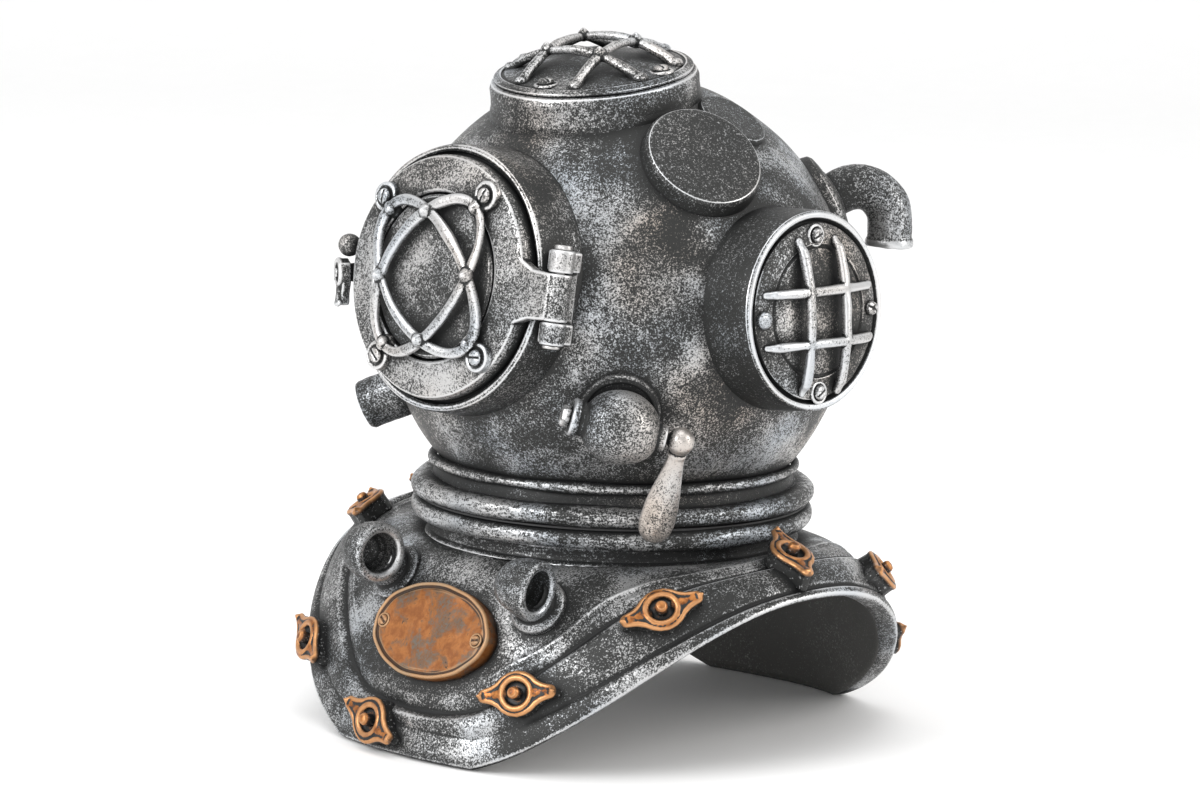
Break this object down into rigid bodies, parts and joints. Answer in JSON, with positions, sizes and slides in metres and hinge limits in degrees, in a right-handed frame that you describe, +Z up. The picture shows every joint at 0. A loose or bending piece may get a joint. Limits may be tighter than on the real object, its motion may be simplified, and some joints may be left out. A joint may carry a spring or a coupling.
{
  "type": "bubbling ornament",
  "caption": "Diving-helmet aquarium ornament with hinged front door, caged ports, valve lever, saddle breastplate with wing nuts, airline inlet at the rear and bubble outlet at the side.",
  "frame": {"origin": "middle of the outline on the plane the breastplate's front and rear edges stand on", "axes": "+Z up, the front door faces -Y, +X is to the wearer's left (the side with the valve lever)"},
  "size_m": [0.1211, 0.1238, 0.143],
  "materials": {
    "gunmetal": "cast resin painted black and dry-brushed with silver",
    "dry_brushed_edge": "cast resin, heavier silver dry-brushing on raised edges",
    "copper_paint": "copper paint with dark wash",
    "black_rubber": "matte",
    "steel_pin": "painted over with the hinge",
    "clear_hose": "translucent",
    "black_plastic": "matte",
    "sintered_stone": "coarse porous"
  },
  "bodies": {
    "helmet": {"breastplate": "gunmetal", "rim_bead": "dry_brushed_edge", "brail_band": "gunmetal", "neck_collar": "gunmetal", "neck_ring_lower": "dry_brushed_edge", "neck_gasket": "black_rubber", "neck_ring_upper": "dry_brushed_edge", "helmet_shell": "gunmetal", "neck_lip": "dry_brushed_edge", "front_frame": "gunmetal", "hinge_bracket": "dry_brushed_edge", "hinge_pin": "steel_pin", "latch_bracket": "gunmetal", "top_frame": "gunmetal", "top_plate": "gunmetal", "top_guard": "dry_brushed_edge", "top_screws": "dry_brushed_edge", "port_frame": "gunmetal", "port_plate": "gunmetal", "port_guard": "dry_brushed_edge", "port_screws": "dry_brushed_edge", "starboard_frame": "gunmetal", "starboard_plate": "gunmetal", "starboard_guard": "dry_brushed_edge", "starboard_screws": "dry_brushed_edge", "side_boss": "gunmetal", "small_boss": "gunmetal", "air_elbow": "gunmetal", "air_elbow_flange": "gunmetal", "cable_elbow": "gunmetal", "cable_elbow_flange": "gunmetal", "bubble_stub": "gunmetal", "spitcock_flange": "gunmetal", "spitcock_body": "dry_brushed_edge", "spitcock_cap": "dry_brushed_edge", "eye_port": "dry_brushed_edge", "eye_starboard": "dry_brushed_edge", "plaque": "copper_paint", "plaque_screws": "copper_paint", "studs": "copper_paint", "wing_nuts": "copper_paint", "air_hose": "clear_hose", "air_stone_cradle": "black_plastic", "air_stone": "sintered_stone"},
    "front_door": {"front_door": "gunmetal", "front_window": "gunmetal", "front_guard": "dry_brushed_edge", "front_guard_screws": "dry_brushed_edge"},
    "spitcock_lever": {"spitcock_lever": "dry_brushed_edge"},
    "latch_nut": {"latch_wing_nut": "gunmetal"}
  },
  "joints": [
    {"name": "front_door_hinge", "type": "hinge", "parent": "helmet", "child": "front_door", "pos_m": [0.0317, -0.04755, 0.09559], "axis": [0, 0.1478, 0.989], "range_deg": [0, 100]},
    {"name": "spitcock_turn", "type": "hinge", "parent": "helmet", "child": "spitcock_lever", "pos_m": [0.03744, -0.03502, 0.06922], "axis": [-0.6367, -0.7416, 0.2111], "range_deg": [0, 90]},
    {"name": "latch_nut_turn", "type": "hinge", "parent": "helmet", "child": "latch_nut", "pos_m": [-0.03053, -0.04723, 0.0931], "axis": [-0.515, -0.8572, 0], "range_deg": [-60, 20]}
  ]
}
